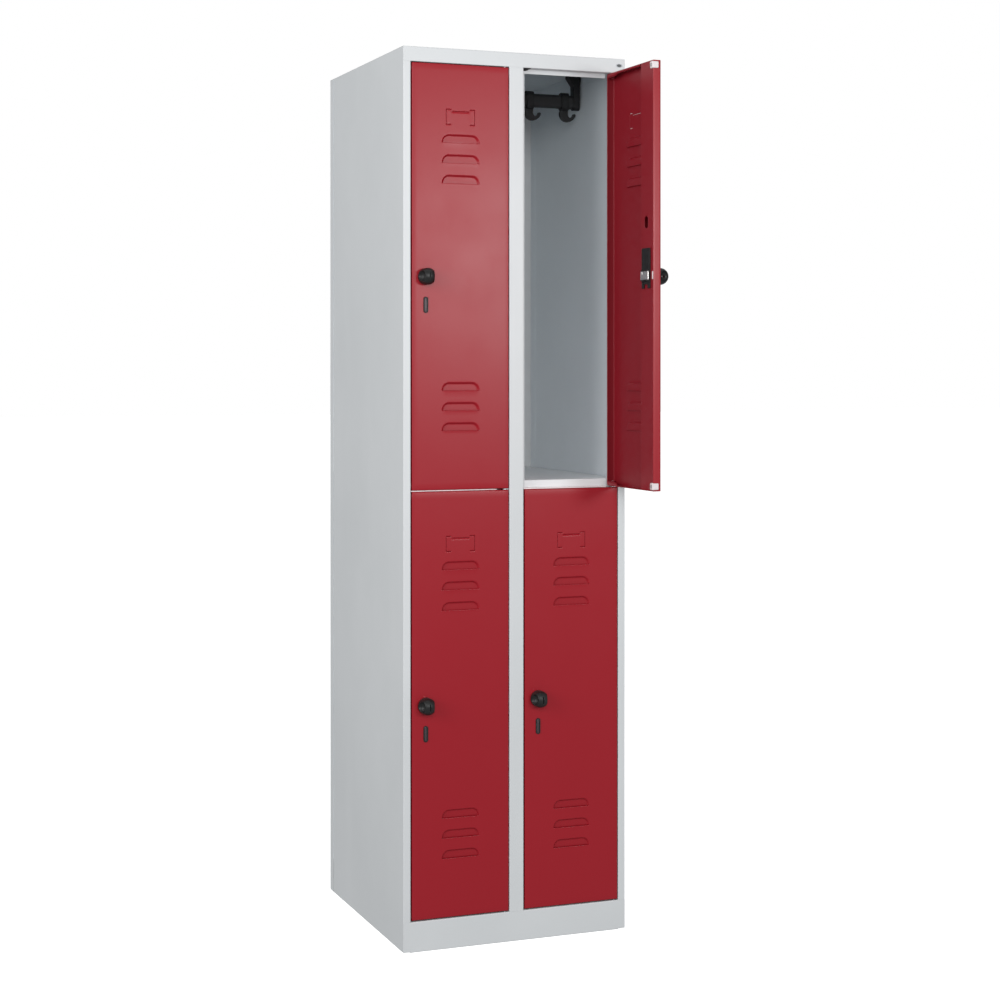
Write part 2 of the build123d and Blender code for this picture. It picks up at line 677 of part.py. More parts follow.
def door_bumpers(leaf):
    """Corner buffers on the free edge, top and bottom, and a small pad."""
    # section of a buffer wrapped round the back of the free edge (u, depth)
    section = (
        (-0.9, DOOR_T - 11.2), (-FIT, DOOR_T - 11.2), (-FIT, DOOR_T + FIT),
        (10.5, DOOR_T + FIT), (10.5, DOOR_T + 1.4), (9.7, DOOR_T + 2.2),
        (0.4, DOOR_T + 2.2), (-0.9, DOOR_T + 1.0),
    )
    with BuildPart() as bumpers:
        for sign in (-1, 1):
            with BuildSketch(leaf.plan.offset(sign * BUMPER_V - BUMPER_H / 2)):
                with BuildLine():
                    Polyline(*section, close=True)
                make_face()
            extrude(amount=BUMPER_H)
        # corners rounded as seen from the edge and from the back
        with BuildSketch(leaf.edge_plane(-2)):
            for sign in (-1, 1):
                with Locations((-DOOR_T + 4.5, sign * BUMPER_V)):
                    RectangleRounded(13.4, BUMPER_H, 3.4)
        extrude(amount=14, mode=Mode.INTERSECT)
        with BuildSketch(leaf.front.offset(-DOOR_T - 3)):
            for sign in (-1, 1):
                with Locations((4.8, sign * BUMPER_V)):
                    RectangleRounded(11.4, BUMPER_H, 3.0)
        extrude(amount=DOOR_T + 4, mode=Mode.INTERSECT)
        # small pad beside the bolt
        with BuildSketch(leaf.front.offset(-DOOR_T - FIT)):
            with Locations((2.2, BOLT_V)):
                RectangleRounded(3.4, 15.5, 0.9)
        extrude(amount=-1.0)
    save(bumpers, "door_bumpers_" + leaf.name)


def hinge_bushes(leaf):
    """Flanged bushes in both ends of the leaf."""
    rings = (              # radius, start beyond the door's end, length outwards
        (4.8, FIT, 0.48),                   # flange
        (3.9, -SHEET - 1.4, SHEET + 1.5),   # neck through the sheet
        (4.2, -SHEET - 9.02, 7.7),          # body inside the leaf
    )
    with BuildPart() as bushes:
        for sign in (-1, 1):
            for radius, start, length in rings:
                with BuildSketch(leaf.plan.offset(sign * (HALF_H + start))):
                    with Locations((DOOR_W - PIN_IN, PIN_BACK)):
                        Circle(radius)
                extrude(amount=sign * length)
        with BuildSketch(leaf.plan.offset(-HALF_H - 5)):
            with Locations((DOOR_W - PIN_IN, PIN_BACK)):
                Circle(PIN_R + 0.05)
        extrude(amount=DOOR_H + 10, mode=Mode.SUBTRACT)
    save(bushes, "hinge_bushes_" + leaf.name)


DOOR_PIECES = (door_skin, door_stiffener, lock_case, knob, bolt, hasp_blade,
               door_bumpers, hinge_bushes)
LEAVES = (
    Leaf("upper_left", HINGE_EDGES[0], DOOR_MID_UPPER, 0.0),
    Leaf("upper_right", HINGE_EDGES[1], DOOR_MID_UPPER, SWING_OPEN),
    Leaf("lower_left", HINGE_EDGES[0], DOOR_MID_LOWER, 0.0),
    Leaf("lower_right", HINGE_EDGES[1], DOOR_MID_LOWER, 0.0),
)

carcass()
hinge_pins()
coat_bars()
rail_brackets()
hooks()
badge_plate()
for leaf in LEAVES:
    for build_piece in DOOR_PIECES:
        build_piece(leaf)
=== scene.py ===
# School locker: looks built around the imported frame. Metres, +Z up.
import json
import math

import bmesh
import bpy
import numpy as np
from mathutils import Matrix, Vector

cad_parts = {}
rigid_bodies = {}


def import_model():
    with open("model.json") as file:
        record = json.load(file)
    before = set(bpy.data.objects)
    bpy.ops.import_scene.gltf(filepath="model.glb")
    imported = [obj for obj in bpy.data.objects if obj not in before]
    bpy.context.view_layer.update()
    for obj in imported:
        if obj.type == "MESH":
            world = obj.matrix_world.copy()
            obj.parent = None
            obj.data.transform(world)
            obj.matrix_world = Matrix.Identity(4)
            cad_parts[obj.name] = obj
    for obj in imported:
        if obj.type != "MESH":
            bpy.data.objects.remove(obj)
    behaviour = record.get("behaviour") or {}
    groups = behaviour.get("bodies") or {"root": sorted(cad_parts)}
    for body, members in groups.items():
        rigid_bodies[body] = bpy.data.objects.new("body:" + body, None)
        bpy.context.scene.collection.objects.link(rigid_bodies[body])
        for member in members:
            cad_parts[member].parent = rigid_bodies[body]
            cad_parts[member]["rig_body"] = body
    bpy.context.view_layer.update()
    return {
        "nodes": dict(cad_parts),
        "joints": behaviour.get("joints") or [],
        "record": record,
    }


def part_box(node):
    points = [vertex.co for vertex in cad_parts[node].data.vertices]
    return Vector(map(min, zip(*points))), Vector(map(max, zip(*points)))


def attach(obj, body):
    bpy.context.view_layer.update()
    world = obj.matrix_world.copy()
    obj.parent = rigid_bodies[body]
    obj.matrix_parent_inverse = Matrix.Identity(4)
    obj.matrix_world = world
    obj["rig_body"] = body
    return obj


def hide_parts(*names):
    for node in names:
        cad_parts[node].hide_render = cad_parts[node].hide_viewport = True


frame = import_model()
NODES = frame["nodes"]
MM = 0.001


# --------------------------------------------------------------- materials
def new_material(name):
    m = bpy.data.materials.new(name)
    m.use_nodes = True
    t = m.node_tree
    t.nodes.clear()
    out = t.nodes.new("ShaderNodeOutputMaterial")
    bsdf = t.nodes.new("ShaderNodeBsdfPrincipled")
    t.links.new(bsdf.outputs[0], out.inputs[0])
    return m, t, bsdf


def node(t, kind, **values):
    n = t.nodes.new(kind)
    for k, v in values.items():
        if k in n.inputs:
            n.inputs[k].default_value = v
        else:
            setattr(n, k, v)
    return n


def noise(t, coords, scale, detail=3.0, rough=0.5, stretch=None):
    if stretch is not None:
        mp = node(t, "ShaderNodeMapping")
        mp.inputs["Scale"].default_value = stretch
        t.links.new(coords, mp.inputs["Vector"])
        coords = mp.outputs[0]
    n = node(t, "ShaderNodeTexNoise")
    n.inputs["Scale"].default_value = scale
    n.inputs["Detail"].default_value = detail
    n.inputs["Roughness"].default_value = rough
    t.links.new(coords, n.inputs["Vector"])
    return n.outputs["Fac"]


def span(t, value, lo, hi, a=0.0, b=1.0):
    r = node(t, "ShaderNodeMapRange")
    r.inputs["From Min"].default_value = lo
    r.inputs["From Max"].default_value = hi
    r.inputs["To Min"].default_value = a
    r.inputs["To Max"].default_value = b
    t.links.new(value, r.inputs["Value"])
    return r.outputs["Result"]


def mix_colour(t, fac, a, b):
    m = node(t, "ShaderNodeMix", data_type="RGBA")
    if isinstance(fac, float):
        m.inputs[0].default_value = fac
    else:
        t.links.new(fac, m.inputs[0])
    for slot_, c in ((6, a), (7, b)):
        if isinstance(c, tuple):
            m.inputs[slot_].default_value = (*c, 1.0) if len(c) == 3 else c
        else:
            t.links.new(c, m.inputs[slot_])
    return m.outputs[2]


def maths(t, op, a, b=None, clamp=False):
    m = node(t, "ShaderNodeMath", operation=op)
    m.use_clamp = clamp
    for i, v in enumerate((a, b)):
        if v is None:
            continue
        if isinstance(v, (int, float)):
            m.inputs[i].default_value = v
        else:
            t.links.new(v, m.inputs[i])
    return m.outputs[0]


def edge_mask(t, radius=0.0009, lo=0.03, hi=0.35):
    """1 along convex and concave edges within radius, 0 on flats."""
    bev = node(t, "ShaderNodeBevel", samples=4)
    bev.inputs["Radius"].default_value = radius
    geo = node(t, "ShaderNodeNewGeometry")
    dot = node(t, "ShaderNodeVectorMath", operation="DOT_PRODUCT")
    t.links.new(bev.outputs[0], dot.inputs[0])
    t.links.new(geo.outputs["Normal"], dot.inputs[1])
    inv = maths(t, "SUBTRACT", 1.0, dot.outputs["Value"], clamp=True)
    return span(t, inv, lo, hi), bev.outputs[0]


def bump(t, height, strength, distance, normal=None):
    b = node(t, "ShaderNodeBump")
    b.inputs["Strength"].default_value = strength
    b.inputs["Distance"].default_value = distance
    t.links.new(height, b.inputs["Height"])
    if normal is not None:
        t.links.new(normal, b.inputs["Normal"])
    return b.outputs[0]


def inside_mask(t, coords):
    """1 within the compartments, 0 on the outside and on the front frame."""
    xyz = node(t, "ShaderNodeSeparateXYZ")
    t.links.new(coords, xyz.inputs[0])
    x = span(t, maths(t, "ABSOLUTE", xyz.outputs[0]), 0.2418, 0.2422, 1.0, 0.0)
    y = maths(t, "MULTIPLY", span(t, xyz.outputs[1], -0.231, -0.222, 0.0, 1.0), span(t, xyz.outputs[1], 0.2485, 0.2492, 1.0, 0.0))
    z = maths(t, "MULTIPLY", span(t, xyz.outputs[2], 0.074, 0.0755, 0.0, 1.0), span(t, xyz.outputs[2], 1.7993, 1.7997, 1.0, 0.0))
    return maths(t, "MULTIPLY", x, maths(t, "MULTIPLY", y, z))


def compartment_drop(t, coords):
    """0 under a compartment's ceiling, 1 at its floor: the ramp of the painted light inside."""
    xyz = node(t, "ShaderNodeSeparateXYZ")
    t.links.new(coords, xyz.inputs[0])
    return maths(t, "FRACT", maths(t, "DIVIDE", maths(t, "SUBTRACT", 1.7995, xyz.outputs[2]), 0.8675))


def powder_coat(name, base, dark, light, edge, rough, coat=0.0, peel=0.5, radius=0.0007, spec=0.5, within=None):
    """Semi-gloss powder coat: orange peel, faint cloudiness, fine dust specks,
    a touch of polish and thinner paint along the folds; within adds painted light inside the compartments."""
    m, t, bsdf = new_material(name)
    tc = node(t, "ShaderNodeTexCoord").outputs["Object"]
    cloud = noise(t, tc, 3.2, 4.0, 0.55)
    streak = noise(t, tc, 6.0, 3.0, 0.5, (1.0, 1.0, 0.18))
    fleck = noise(t, tc, 1500.0, 1.0, 0.5)
    c = mix_colour(t, span(t, cloud, 0.35, 0.68), dark, base)
    c = mix_colour(t, span(t, streak, 0.52, 0.8, 0.0, 0.55), c, light)
    c = mix_colour(t, span(t, fleck, 0.66, 0.8, 0.0, 0.35), c, dark)
    mask, rounded = edge_mask(t, radius)
    worn = maths(t, "MULTIPLY", mask, span(t, noise(t, tc, 45.0, 4.0, 0.6), 0.38, 0.7, 0.15, 1.0))
    c = mix_colour(t, maths(t, "MULTIPLY", worn, 0.55), c, edge)
    if within is not None:
        # painted light: inside the compartments the colour is brightened, more towards each compartment's floor,
        # standing in for light the lamps here don't bring; it is the same paint
        inner = node(t, "ShaderNodeMix", data_type="RGBA", blend_type="MULTIPLY")
        t.links.new(inside_mask(t, tc), inner.inputs[0])
        t.links.new(c, inner.inputs[6])
        t.links.new(mix_colour(t, compartment_drop(t, tc), within[0], within[1]), inner.inputs[7])
        c = inner.outputs[2]
    t.links.new(c, bsdf.inputs["Base Color"])
    smudge = noise(t, tc, 11.0, 4.0, 0.6)
    r = span(t, smudge, 0.3, 0.72, rough - 0.015, rough + 0.02)
    r = maths(t, "SUBTRACT", r, maths(t, "MULTIPLY", mask, 0.08))
    t.links.new(r, bsdf.inputs["Roughness"])
    orange = noise(t, tc, 620.0, 2.0, 0.45)
    wave = noise(t, tc, 9.0, 2.0, 0.5)
    n = bump(t, wave, 0.012, 0.01, rounded)
    n = bump(t, orange, peel, 0.00012, n)
    t.links.new(n, bsdf.inputs["Normal"])
    bsdf.inputs["Specular IOR Level"].default_value = spec
    if coat:
        bsdf.inputs["Coat Weight"].default_value = coat
        bsdf.inputs["Coat Roughness"].default_value = 0.22
        t.links.new(n, bsdf.inputs["Coat Normal"])
    return m


def plastic(name, base, light, rough, grain=850.0, strength=0.35, edge=(0.12, 0.12, 0.12)):
    """Moulded plastic: fine spark-eroded grain, rubbed edges, faint flow marks."""
    m, t, bsdf = new_material(name)
    tc = node(t, "ShaderNodeTexCoord").outputs["Object"]
    flow = noise(t, tc, 40.0, 3.0, 0.5, (1.0, 1.0, 3.0))
    c = mix_colour(t, span(t, flow, 0.35, 0.7), base, light)
    mask, rounded = edge_mask(t, 0.0008)
    rub = maths(t, "MULTIPLY", mask, span(t, noise(t, tc, 160.0, 3.0, 0.6), 0.4, 0.7, 0.1, 0.8))
    c = mix_colour(t, maths(t, "MULTIPLY", rub, 0.5), c, edge)
    t.links.new(c, bsdf.inputs["Base Color"])
    r = span(t, noise(t, tc, 70.0, 3.0, 0.6), 0.3, 0.7, rough - 0.06, rough + 0.07)
    t.links.new(maths(t, "SUBTRACT", r, maths(t, "MULTIPLY", rub, 0.12)), bsdf.inputs["Roughness"])
    fine = noise(t, tc, grain * 2.2, 2.0, 0.6)
    t.links.new(bump(t, fine, strength, 0.00008, rounded), bsdf.inputs["Normal"])
    bsdf.inputs["Specular IOR Level"].default_value = 0.32
    return m


def plated(name, base, tint, rough, brush=(1.0, 1.0, 28.0), metallic=1.0):
    """Plated steel: brushed grain, cloudy plating, small scratches."""
    m, t, bsdf = new_material(name)
    tc = node(t, "ShaderNodeTexCoord").outputs["Object"]
    cloud = noise(t, tc, 60.0, 4.0, 0.6)
    grain = noise(t, tc, 90.0, 4.0, 0.7, brush)
    scratch = noise(t, tc, 300.0, 2.0, 0.5, (1.0, 1.0, 0.06))
    c = mix_colour(t, span(t, cloud, 0.3, 0.7), base, tint)
    mask, rounded = edge_mask(t, 0.0005)
    c = mix_colour(t, maths(t, "MULTIPLY", mask, 0.4), c, (0.9, 0.9, 0.9))
    t.links.new(c, bsdf.inputs["Base Color"])
    bsdf.inputs["Metallic"].default_value = metallic
    r = span(t, grain, 0.25, 0.75, rough - 0.08, rough + 0.1)
    r = maths(t, "ADD", r, span(t, scratch, 0.62, 0.7, 0.0, 0.12))
    t.links.new(r, bsdf.inputs["Roughness"])
    t.links.new(bump(t, grain, 0.2, 0.00005, rounded), bsdf.inputs["Normal"])
    return m


# within: painted light, brightening the compartments' insides from ceiling to floor
GREY = powder_coat("body_paint", (0.565, 0.582, 0.592), (0.535, 0.553, 0.563), (0.59, 0.605, 0.614),
                   (0.66, 0.67, 0.675), 0.40, peel=0.35, within=((1.15, 1.21, 1.24), (1.42, 1.46, 1.49)))
# painted light: a lighter copy of the frame paint for the middle shelf, brightening its lip
SHELF_LIT = powder_coat("shelf_paint", (0.69, 0.705, 0.715), (0.66, 0.675, 0.685), (0.71, 0.72, 0.73),
                    (0.76, 0.77, 0.775), 0.40, peel=0.35, within=((1.1, 1.1, 1.1), (1.2, 1.22, 1.24)))
RED = powder_coat("door_paint", (0.284, 0.0086, 0.0163), (0.277, 0.0082, 0.0155), (0.290, 0.0091, 0.0171),
                  (0.36, 0.025, 0.035), 0.30, peel=0.4, spec=0.26)
# painted shade: darker copies of the door paint, one for the door's inside, a darker one for the faces in its deep
# channel
RED_SHADED = powder_coat("door_paint_inside", (0.216, 0.0078, 0.0150), (0.211, 0.0075, 0.0144), (0.221, 0.0082, 0.0157),
                     (0.26, 0.018, 0.025), 0.36, peel=0.4, spec=0.26)
RED_SHADED_DEEP = powder_coat("door_paint_folds", (0.172, 0.0064, 0.0122), (0.168, 0.0062, 0.0118), (0.177, 0.0068, 0.0128),
                       (0.19, 0.012, 0.018), 0.38, peel=0.4, spec=0.22)
# painted highlight: pale pink for the glint along the lower doors' top bend, tinted by a painted reflection of the red
NOSE_HIGHLIGHT = powder_coat("shelf_nose_paint", (0.78, 0.67, 0.675), (0.76, 0.655, 0.66), (0.80, 0.685, 0.69),
                   (0.82, 0.73, 0.735), 0.40, peel=0.35)
BLACK = plastic("black_plastic", (0.0075, 0.0075, 0.008), (0.012, 0.012, 0.013), 0.52)
KNOB_BLACK = plastic("knob_plastic", (0.0085, 0.0088, 0.0088), (0.013, 0.0135, 0.0135), 0.40, strength=0.2)
BAR_BLACK = powder_coat("bar_coat", (0.011, 0.011, 0.012), (0.008, 0.008, 0.009), (0.016, 0.016, 0.017),
                        (0.10, 0.10, 0.10), 0.42, peel=0.3)
NICKEL = plated("nickel_steel", (0.86, 0.855, 0.84), (0.76, 0.755, 0.74), 0.30)
HASP = plated("grey_steel", (0.10, 0.085, 0.09), (0.07, 0.06, 0.065), 0.5)
ZINC = plated("zinc_steel", (0.55, 0.56, 0.57), (0.44, 0.46, 0.48), 0.36)
BADGE = plated("badge_metal", (0.42, 0.43, 0.45), (0.33, 0.34, 0.36), 0.40)
BUFFER = plastic("buffer_plastic", (0.63, 0.57, 0.58), (0.68, 0.62, 0.63), 0.5, grain=500.0,
                 strength=0.15, edge=(0.80, 0.78, 0.78))
BUFFER_DISC = plastic("buffer_disc", (0.31, 0.295, 0.297), (0.36, 0.345, 0.347), 0.5, edge=(0.48, 0.46, 0.46))


def enamel_centre(m):
    """A dark plain field inside the badge's bright rim."""
    t = m.node_tree
    bsdf = next(n for n in t.nodes if n.type == "BSDF_PRINCIPLED")
    tc = node(t, "ShaderNodeTexCoord").outputs["Object"]
    xyz = node(t, "ShaderNodeSeparateXYZ")
    t.links.new(tc, xyz.inputs[0])
    lo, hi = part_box("badge_plate")
    x = maths(t, "DIVIDE", maths(t, "SUBTRACT", xyz.outputs[0], (lo[0] + hi[0]) / 2), (hi[0] - lo[0]) / 2)
    z = maths(t, "DIVIDE", maths(t, "SUBTRACT", xyz.outputs[2], (lo[2] + hi[2]) / 2), (hi[2] - lo[2]) / 2)
    r = maths(t, "SQRT", maths(t, "ADD", maths(t, "MULTIPLY", x, x), maths(t, "MULTIPLY", z, z)))
    field = span(t, maths(t, "ADD", r, maths(t, "MULTIPLY", noise(t, tc, 900.0), 0.02)), 0.66, 0.72, 1.0, 0.0)
    old = bsdf.inputs["Base Color"].links[0].from_socket
    t.links.new(mix_colour(t, field, old, (0.055, 0.058, 0.062)), bsdf.inputs["Base Color"])
    t.links.new(maths(t, "SUBTRACT", 1.0, field, clamp=True), bsdf.inputs["Metallic"])


enamel_centre(BADGE)
BY_SLOT = {"body_paint": GREY, "door_paint": RED, "black_plastic": BLACK, "bar_coat": BAR_BLACK,
           "nickel_steel": NICKEL, "grey_steel": HASP, "zinc_steel": ZINC, "badge_metal": BADGE,
           "buffer_plastic": BUFFER}

# ------------------------------------------------- carried-over CAD nodes
SLOT_OF = {s["node"]: s["material_slot"] for s in frame["record"]["subparts"]}
ROUND = {"hook_": (0.0011, 3), "rail_brackets": (0.0014, 3), "lock_case": (0.0006, 2),
         "door_bumpers": (0.0007, 3), "hasp_blade": (0.0004, 2), "bolt_": (0.0005, 2)}
for n, o in NODES.items():
    o.data.materials.clear()
    # painted light and shade: the middle shelf takes the lighter copy of the frame paint, the door stiffeners and hinge
    # bushes the darker copies of the door paint
    painted_light_copies = {"mid_shelf": SHELF_LIT, "door_stiff": RED_SHADED, "hinge_bus": RED_SHADED_DEEP}
    o.data.materials.append(next((m for k, m in painted_light_copies.items() if n.startswith(k)), BY_SLOT[SLOT_OF[n]]))
    for key, (width, steps) in ROUND.items():
        if n.startswith(key):
            weld = o.modifiers.new("weld", "WELD")
            weld.merge_threshold = 0.00001
            b = o.modifiers.new("rounding", "BEVEL")
            b.width = width
            b.segments = steps
            b.limit_method = "ANGLE"
            b.angle_limit = math.radians(35)
            b.harden_normals = False
            b.use_clamp_overlap = True


# ------------------------------------------------------------ mesh helpers
def make(name, verts, faces, material, body, place=None, sharp=35.0, materials=None, face_mats=None):
    me = bpy.data.meshes.new(name)
    v = np.asarray(verts, float)
    if place is not None:
        v = place(v)
    me.from_pydata([tuple(p) for p in v], [], [tuple(int(i) for i in f) for f in faces])
    me.validate()
    bm = bmesh.new()
    bm.from_mesh(me)
    bmesh.ops.remove_doubles(bm, verts=bm.verts, dist=1e-7)
    bmesh.ops.recalc_face_normals(bm, faces=bm.faces)
    lim = math.radians(sharp)
    for e in bm.edges:
        e.smooth = not (len(e.link_faces) == 2 and e.calc_face_angle(0.0) > lim)
    for f in bm.faces:
        f.smooth = True
    bm.to_mesh(me)
    bm.free()
    o = bpy.data.objects.new(name, me)
    bpy.context.scene.collection.objects.link(o)
    me.materials.append(material)
    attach(o, body)
    return o


def smoothstep(x):
    x = np.clip(x, 0.0, 1.0)
    return x * x * (3 - 2 * x)


class Leaf:
    """A door's own axes: u from the free edge to the hinge edge, v up from the
    middle, w out of the front face, all in mm."""

    def __init__(self, name):
        j = next(j for j in frame["joints"] if j["name"] == "door_%s_hinge" % name)
        a = math.radians(-j["range_deg"][0])
        self.wide = np.array([math.cos(a), math.sin(a), 0.0])
        self.out = np.array([math.sin(a), -math.cos(a), 0.0])
        self.corner = np.array(j["pos_m"], float) - self.wide * 0.2012 + self.out * 0.0056
        self.name = name

    def __call__(self, uvw):
        uvw = np.asarray(uvw, float) * MM
        return self.corner + uvw[:, :1] * self.wide + uvw[:, 1:2] * np.array([0, 0, 1.0]) + uvw[:, 2:3] * self.out


LEAVES = [Leaf(n) for n in ("upper_left", "upper_right", "lower_left", "lower_right")]
DW, DH, DT, SHEET = 208.0, 851.3, 17.3, 0.8
LOUVRES = (268.5, 228.2, 187.3, -227.5, -267.5, -308.0)
LU0, LU1, LH = 64.0, 144.0, 16.7
LABEL = (73.0, 134.5, 305.0, 335.5)


def lines(lo, hi, coarse, fine):
    """Grid lines from lo to hi: coarse spacing, with (a, b, step) fine stretches."""
    xs = set(np.round(np.linspace(lo, hi, int((hi - lo) / coarse) + 1), 4))
    for a, b, step in fine:
        xs = {x for x in xs if not (a - step * 0.6 < x < b + step * 0.6)}
        xs |= set(np.round(np.linspace(a, b, max(1, int(round((b - a) / step))) + 1), 4))
    return np.array(sorted(xs))


def arch_distance(u, v, row):
    """Distance inside the louvre's outline from its arched side and top edges,
    negative outside. The straight lower edge doesn't count."""
    cx, half, top, r = (LU0 + LU1) / 2, (LU1 - LU0) / 2, row + LH, 15.6
    x = np.abs(u - cx)
    y = v
    inside = np.minimum(half - x, top - y)
    px, py = x - (half - r), y - (top - r)
    corner = (px > 0) & (py > 0)
    return np.where(corner, r - np.hypot(px, py), inside)


SLIT = 1.1


def louvre_depth(d):
    return -3.8 * smoothstep((d + 0.3) / 3.7)


def front_height(u, v):
    h = np.zeros_like(u)
    for row in LOUVRES:
        d = arch_distance(u, v, row)
        near = (v > row + 0.5 * SLIT) & (d > -1.2)
        press = louvre_depth(d)
        h = np.where(near, press, h)
        # the cut edge under the opening lifts a hair
        lip = (v <= row + 0.5 * SLIT) & (v > row - 3.0) & (u > LU0) & (u < LU1)
        h = np.where(lip, 0.25 * smoothstep(1 - (row - v) / 3.0) * smoothstep(np.minimum(u - LU0, LU1 - u) / 8.0), h)
    # label holder: both side tabs are lifted very slightly
    a, b, c, d_ = LABEL
    for s0, s1 in ((a, a + 11), (b - 11, b)):
        e = np.minimum(np.minimum(u - s0, s1 - u), np.minimum(v - c, d_ - v))
        h = np.where(e > 0, 0.12 * smoothstep(e / 2.0), h)
    return h


def front_holes(u0, u1, v0, v1):
    uc, vc = (u0 + u1) / 2, (v0 + v1) / 2
    hole = np.zeros_like(uc, bool)
    for row in LOUVRES:
        hole |= (uc > LU0 + 0.3) & (uc < LU1 - 0.3) & (vc > row) & (vc < row + SLIT)
    a, b, c, d_ = LABEL
    s = 0.5
    up = (vc > c) & (vc < d_)
    hole |= up & (((uc > a) & (uc < a + s)) | ((uc > b - s) & (uc < b)))
    ends = ((vc > c) & (vc < c + s)) | ((vc > d_ - s) & (vc < d_))
    hole |= ends & (((uc > a) & (uc < a + 11)) | ((uc > b - 11) & (uc < b)))
    hole |= (uc > a + 11.75) & (uc < b - 11.75) & (vc > d_ - 4.2) & (vc < d_ - 3.8)
    hole |= np.hypot(uc - 29.5, vc) < 7.5
    hole |= (np.abs(uc - 29.5) < 3.9) & (np.abs(vc + 56.5) < 14.6)
    return hole


def door_surface():
    B = 2.0
    a, b, c, d_ = LABEL
    us = lines(B, DW - B, 9.0, [(20.5, 38.5, 1.2), (LU0 - 2, LU1 + 2, 1.0)])
    us = np.array(sorted(set(us) | {a, a + 0.5, a + 11, a + 11.75, b - 11.75, b - 11, b - 0.5, b, 54.2}))
    fine = [(-8.4, 8.4, 1.2), (-72.0, -41.0, 1.5)]
    for row in LOUVRES:
        fine.append((row + SLIT, row + LH + SLIT, 1.0))
        fine.append((row - 3.0, row, 1.0))
    vs = lines(-DH / 2 + B, DH / 2 - B, 12.0, fine)
    vs = np.array(sorted({x for x in vs if not (c - 1 < x < d_ + 1)} |
                         {c - 2, c, c + 0.5, c + 2, c + 6, c + 14, c + 22, d_ - 4.2, d_ - 3.8, d_ - 2, d_ - 0.5, d_, d_ + 2}))
    us = us[np.concatenate(([True], np.diff(us) > 0.15))]
    vs = vs[np.concatenate(([True], np.diff(vs) > 0.15))]
    nu, nv = len(us), len(vs)
    U, V = np.meshgrid(us, vs, indexing="ij")
    H = front_height(U, V)
    verts = [(U[i, j], V[i, j], H[i, j]) for i in range(nu) for j in range(nv)]
    ident = lambda i, j: i * nv + j
    # below each opening the louvre's floor carries on behind the panel's edge
    skirts = []
    for row in LOUVRES:
        j = int(np.argmin(np.abs(vs - (row + SLIT))))
        span_ = [i for i in range(nu) if LU0 + 0.4 < us[i] < LU1 - 0.4 and H[i, j] < -1.0]
        prev = [ident(i, j) for i in span_]
        for drop in (0.9, 1.9):
            first = len(verts)
            verts += [(us[i], vs[j] - drop, H[i, j] - 0.05 * drop) for i in span_]
            cur = list(range(first, first + len(span_)))
            skirts += [(cur[k], cur[k + 1], prev[k + 1], prev[k]) for k in range(len(span_) - 1)]
            prev = cur
    u0, v0 = np.meshgrid(us[:-1], vs[:-1], indexing="ij")
    u1, v1 = np.meshgrid(us[1:], vs[1:], indexing="ij")
    hole = front_holes(u0, u1, v0, v1)
    faces = [(ident(i, j), ident(i + 1, j), ident(i + 1, j + 1), ident(i, j + 1))
             for i in range(nu - 1) for j in range(nv - 1) if not hole[i, j]] + skirts
    # rim of the front, as (u, v, side) going round
    rim = [(us[i], vs[0], ident(i, 0), "bottom") for i in range(nu - 1)]
    rim += [(us[-1], vs[j], ident(nu - 1, j), "hinge") for j in range(nv - 1)]
    rim += [(us[i], vs[-1], ident(i, nv - 1), "top") for i in range(nu - 1, 0, -1)]
    rim += [(us[0], vs[j], ident(0, j), "lock") for j in range(nv - 1, 0, -1)]
    cu, cv = DW / 2, 0.0
    half_u, half_v = DW / 2 - B, DH / 2 - B

    def loop(grow, w):
        first = len(verts)
        for (u, v, _, _) in rim:
            verts.append((cu + (u - cu) * (half_u + grow) / half_u, cv + (v - cv) * (half_v + grow) / half_v, w))
        return list(range(first, first + len(rim)))

    rings = [[r[2] for r in rim]]
    for k in range(1, 7):
        ang = math.pi / 2 * k / 6
        rings.append(loop(B * math.sin(ang), -B * (1 - math.cos(ang))))
    for w in (-5.0, -9.0, -13.0, -16.3):
        rings.append(loop(B, w))
    for k in (1, 2, 3):
        ang = math.pi / 2 * k / 3
        rings.append(loop(B - 1.0 * (1 - math.cos(ang)), -16.3 - 1.0 * math.sin(ang)))
    m = len(rim)
    for r0, r1 in zip(rings[:-1], rings[1:]):
        for k in range(m):
            faces.append((r0[k], r0[(k + 1) % m], r1[(k + 1) % m], r1[k]))
    # return lips on the hinge side and both ends, none over the stiffener
    last = rings[-1]
    inner = []
    for k, (u, v, _, side) in enumerate(rim):
        pu, pv, pw = verts[last[k]]
        lip = 5.0 if pv > 0 else 1.9
        # the end lips widen towards the hinge corners, over the bushes
        lip_v = DH / 2 - (lip + (9.0 - lip) * float(smoothstep((pu - (DW - 50.0)) / 14.0)))
        if side == "lock":
            inner.append(None)
            continue
        share = (pu - 54.2) / (DW - 1.0 - 54.2)
        if side in ("top", "bottom"):
            if pu < 54.1:
                inner.append(None)
                continue
            q = (54.2 + share * (DW - 3.5 - 54.2), math.copysign(lip_v, pv), pw)
        else:
            q = (DW - 3.5, pv * lip_v / (DH / 2 - 1.0), pw)
        verts.append(q)
        inner.append(len(verts) - 1)
    for k in range(m):
        k2 = (k + 1) % m
        if inner[k] is not None and inner[k2] is not None:
            faces.append((last[k], last[k2], inner[k2], inner[k]))
    v = np.array(verts, float)
    # the free edge stands back a little more than the frame of the opening
    v[:, 0] += 0.75 * np.clip(1 - v[:, 0] / 16.0, 0.0, 1.0)
    return v, faces


DOOR_V, DOOR_F = door_surface()


